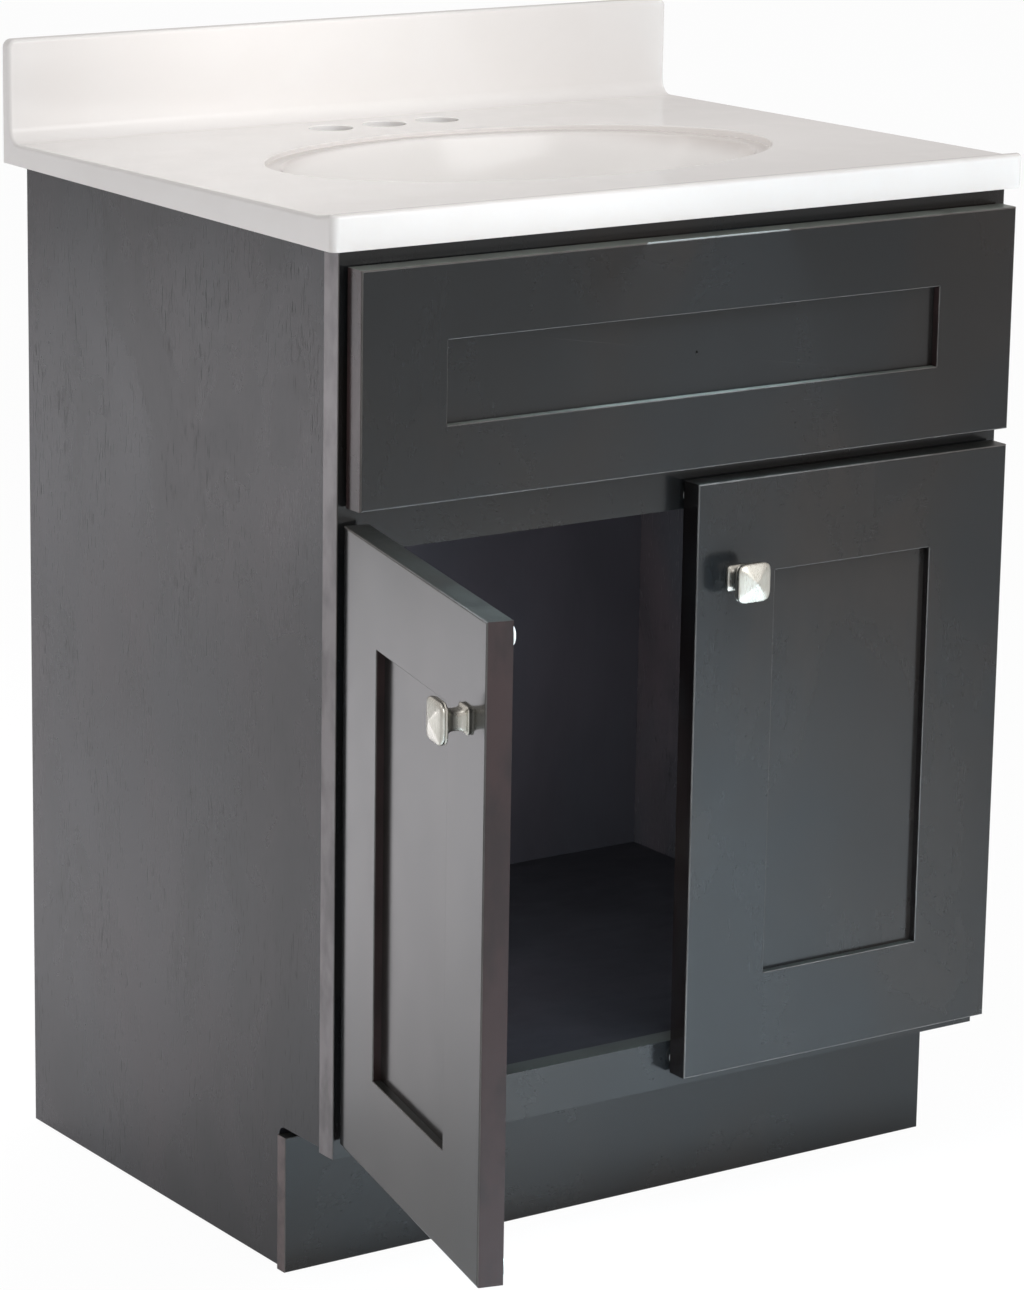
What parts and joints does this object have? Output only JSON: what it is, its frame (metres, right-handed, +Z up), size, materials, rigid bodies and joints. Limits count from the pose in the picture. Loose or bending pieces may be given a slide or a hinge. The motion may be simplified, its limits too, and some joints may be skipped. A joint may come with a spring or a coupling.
{
  "type": "bathroom vanity cabinet",
  "caption": "Bathroom vanity: dark face-frame cabinet with hinged framed doors, false drawer front and a white cast top with oval bowl and backsplash.",
  "frame": {"origin": "on the floor, at the middle of the cabinet's back plane", "axes": "+Z up, +Y towards the wall behind, so the doors face -Y; +X to the right seen from the front"},
  "size_m": [0.7055, 0.7741, 0.889],
  "materials": {
    "lacquered_case": "satin dark brown lacquer over veneered board",
    "lacquered_front": "satin dark brown lacquer over solid wood",
    "lacquered_panel": "satin dark brown lacquer over flat veneered panel",
    "dark_interior": "dark brown finish on the inside boards",
    "cast_top": "glossy cast polymer, warm white",
    "satin_nickel": "satin nickel plate",
    "plated_steel": "bright nickel-plated steel",
    "screw_steel": "zinc-plated steel",
    "white_bumper": "soft white plastic pads",
    "block_wood": "bare softwood",
    "grey_spacer": "dark moulded plastic"
  },
  "bodies": {
    "cabinet": {"back_panel": "dark_interior", "back_rail": "dark_interior", "bottom_panel": "dark_interior", "corner_braces": "block_wood", "drawer_front_bottom_rail": "lacquered_front", "drawer_front_left_stile": "lacquered_front", "drawer_front_panel": "lacquered_panel", "drawer_front_right_stile": "lacquered_front", "drawer_front_screws": "screw_steel", "drawer_front_spacers": "grey_spacer", "drawer_front_top_rail": "lacquered_front", "face_frame_bottom_rail": "lacquered_front", "face_frame_left_stile": "lacquered_front", "face_frame_middle_rail": "lacquered_front", "face_frame_right_stile": "lacquered_front", "face_frame_top_rail": "lacquered_front", "left_hinge_arms": "plated_steel", "left_hinge_frame_screws": "screw_steel", "left_side_panel": "lacquered_case", "right_hinge_arms": "plated_steel", "right_hinge_frame_screws": "screw_steel", "right_side_panel": "lacquered_case", "toe_board": "lacquered_front", "vanity_top": "cast_top"},
    "left_door": {"left_door_bottom_rail": "lacquered_front", "left_door_bumpers": "white_bumper", "left_door_free_stile": "lacquered_front", "left_door_hinge_stile": "lacquered_front", "left_door_panel": "lacquered_panel", "left_door_top_rail": "lacquered_front", "left_hinge_cups": "plated_steel", "left_hinge_door_screws": "screw_steel", "left_hinge_pins": "plated_steel", "left_knob": "satin_nickel", "left_knob_screw": "screw_steel"},
    "right_door": {"right_door_bottom_rail": "lacquered_front", "right_door_bumpers": "white_bumper", "right_door_free_stile": "lacquered_front", "right_door_hinge_stile": "lacquered_front", "right_door_panel": "lacquered_panel", "right_door_top_rail": "lacquered_front", "right_hinge_cups": "plated_steel", "right_hinge_door_screws": "screw_steel", "right_hinge_pins": "plated_steel", "right_knob": "satin_nickel", "right_knob_screw": "screw_steel"}
  },
  "joints": [
    {"name": "left_door_hinge", "type": "hinge", "parent": "cabinet", "child": "left_door", "pos_m": [-0.293, -0.47, 0], "axis": [0, 0, -1], "range_deg": [-103.8, 2.2]},
    {"name": "right_door_hinge", "type": "hinge", "parent": "cabinet", "child": "right_door", "pos_m": [0.293, -0.47, 0], "axis": [0, 0, 1], "range_deg": [0, 106]}
  ]
}
